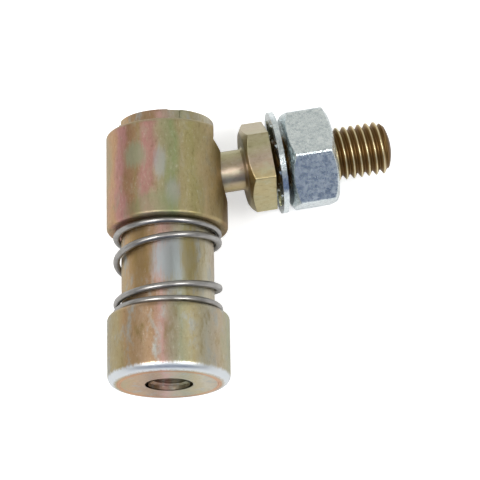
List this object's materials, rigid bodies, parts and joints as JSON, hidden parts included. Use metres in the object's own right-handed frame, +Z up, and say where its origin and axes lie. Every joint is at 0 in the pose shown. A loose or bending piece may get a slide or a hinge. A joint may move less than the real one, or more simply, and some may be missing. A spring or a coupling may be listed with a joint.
{
  "type": "angle ball joint",
  "caption": "Quick-release angle ball joint: a sprung sleeve locks a threaded ball stud into the side of a tapped rod-end socket.",
  "frame": {"origin": "centre of the rod thread's mouth, in the flange's end face", "axes": "+Y along the socket's axis from the rod thread's mouth to the rim, +X the side the ball stud leaves by, +Z up with the joint lying on its side"},
  "size_m": [0.0338, 0.0339, 0.0142],
  "materials": {
    "chromate_body": "yellow-chromated zinc plate on turned steel",
    "chromate_sleeve": "yellow-chromated zinc plate on turned steel tube",
    "spring_wire": "bright drawn spring wire",
    "chromate_stud": "yellow-chromated zinc plate on turned steel",
    "bright_zinc_washer": "clear-passivated bright zinc plate",
    "bright_zinc_nut": "clear-passivated bright zinc plate"
  },
  "bodies": {
    "socket": {"socket_body": "chromate_body", "sleeve_spring": "spring_wire"},
    "sleeve": {"release_sleeve": "chromate_sleeve"},
    "washer": {"lock_washer": "bright_zinc_washer"},
    "stud": {"ball_stud": "chromate_stud", "hex_nut": "bright_zinc_nut"}
  },
  "joints": [
    {"name": "sleeve_slide", "type": "slide", "parent": "socket", "child": "sleeve", "axis": [0, -1, 0], "range_m": [0, 0.006], "stiffness_N_per_m": 600, "springref_m": -0.005, "deforming": ["sleeve_spring"]},
    {"name": "stud_swing", "type": "hinge", "parent": "socket", "child": "washer", "pos_m": [0.00192, 0.0251, 0], "axis": [0, 0, 1], "range_deg": [-14.4, 8.6]},
    {"name": "stud_spin", "type": "hinge", "parent": "washer", "child": "stud", "pos_m": [0.00192, 0.0251, 0], "axis": [0.9852, 0.1631, -0.0521], "continuous": true}
  ]
}
